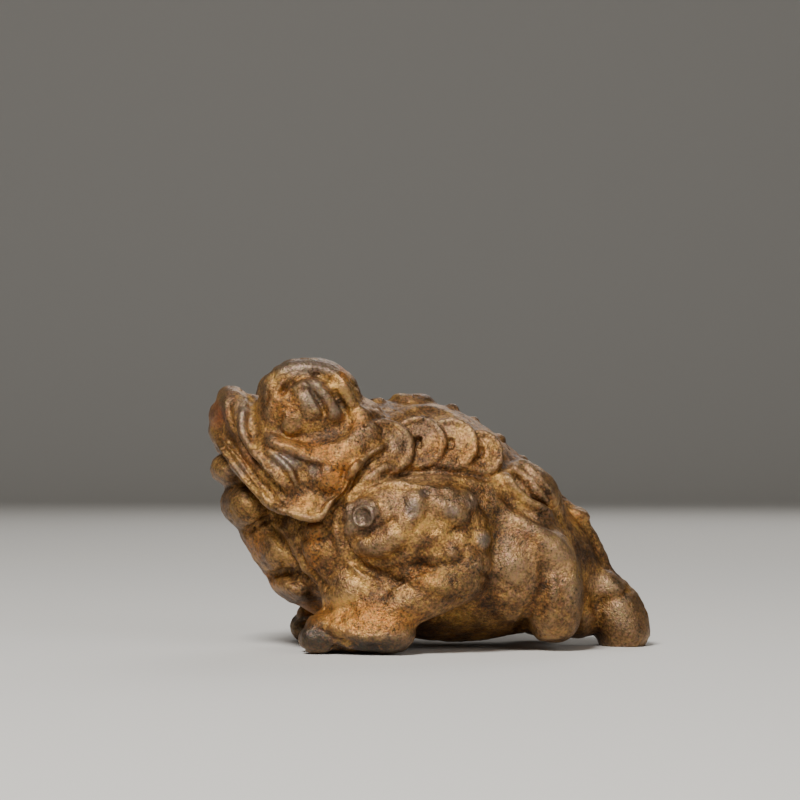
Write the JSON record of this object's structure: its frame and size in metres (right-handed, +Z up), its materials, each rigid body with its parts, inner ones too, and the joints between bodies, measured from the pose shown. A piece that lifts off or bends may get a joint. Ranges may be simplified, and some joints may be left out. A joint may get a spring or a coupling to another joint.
{
  "type": "incense stick holder",
  "caption": "Small cast toad figure with raised head and strings of cash coins over its back, with an upright hole on top that holds an incense stick.",
  "frame": {"origin": "on the surface that the toad stands on, under the middle of its length and width", "axes": "+Z up, the toad faces -X along its length, its left side is -Y"},
  "size_m": [0.0444, 0.0288, 0.0287],
  "materials": {
    "patinated_brass": "dark brown patina with worn highlights and rust-coloured stains"
  },
  "bodies": {
    "root": {"money_toad": "patinated_brass"}
  },
  "joints": []
}
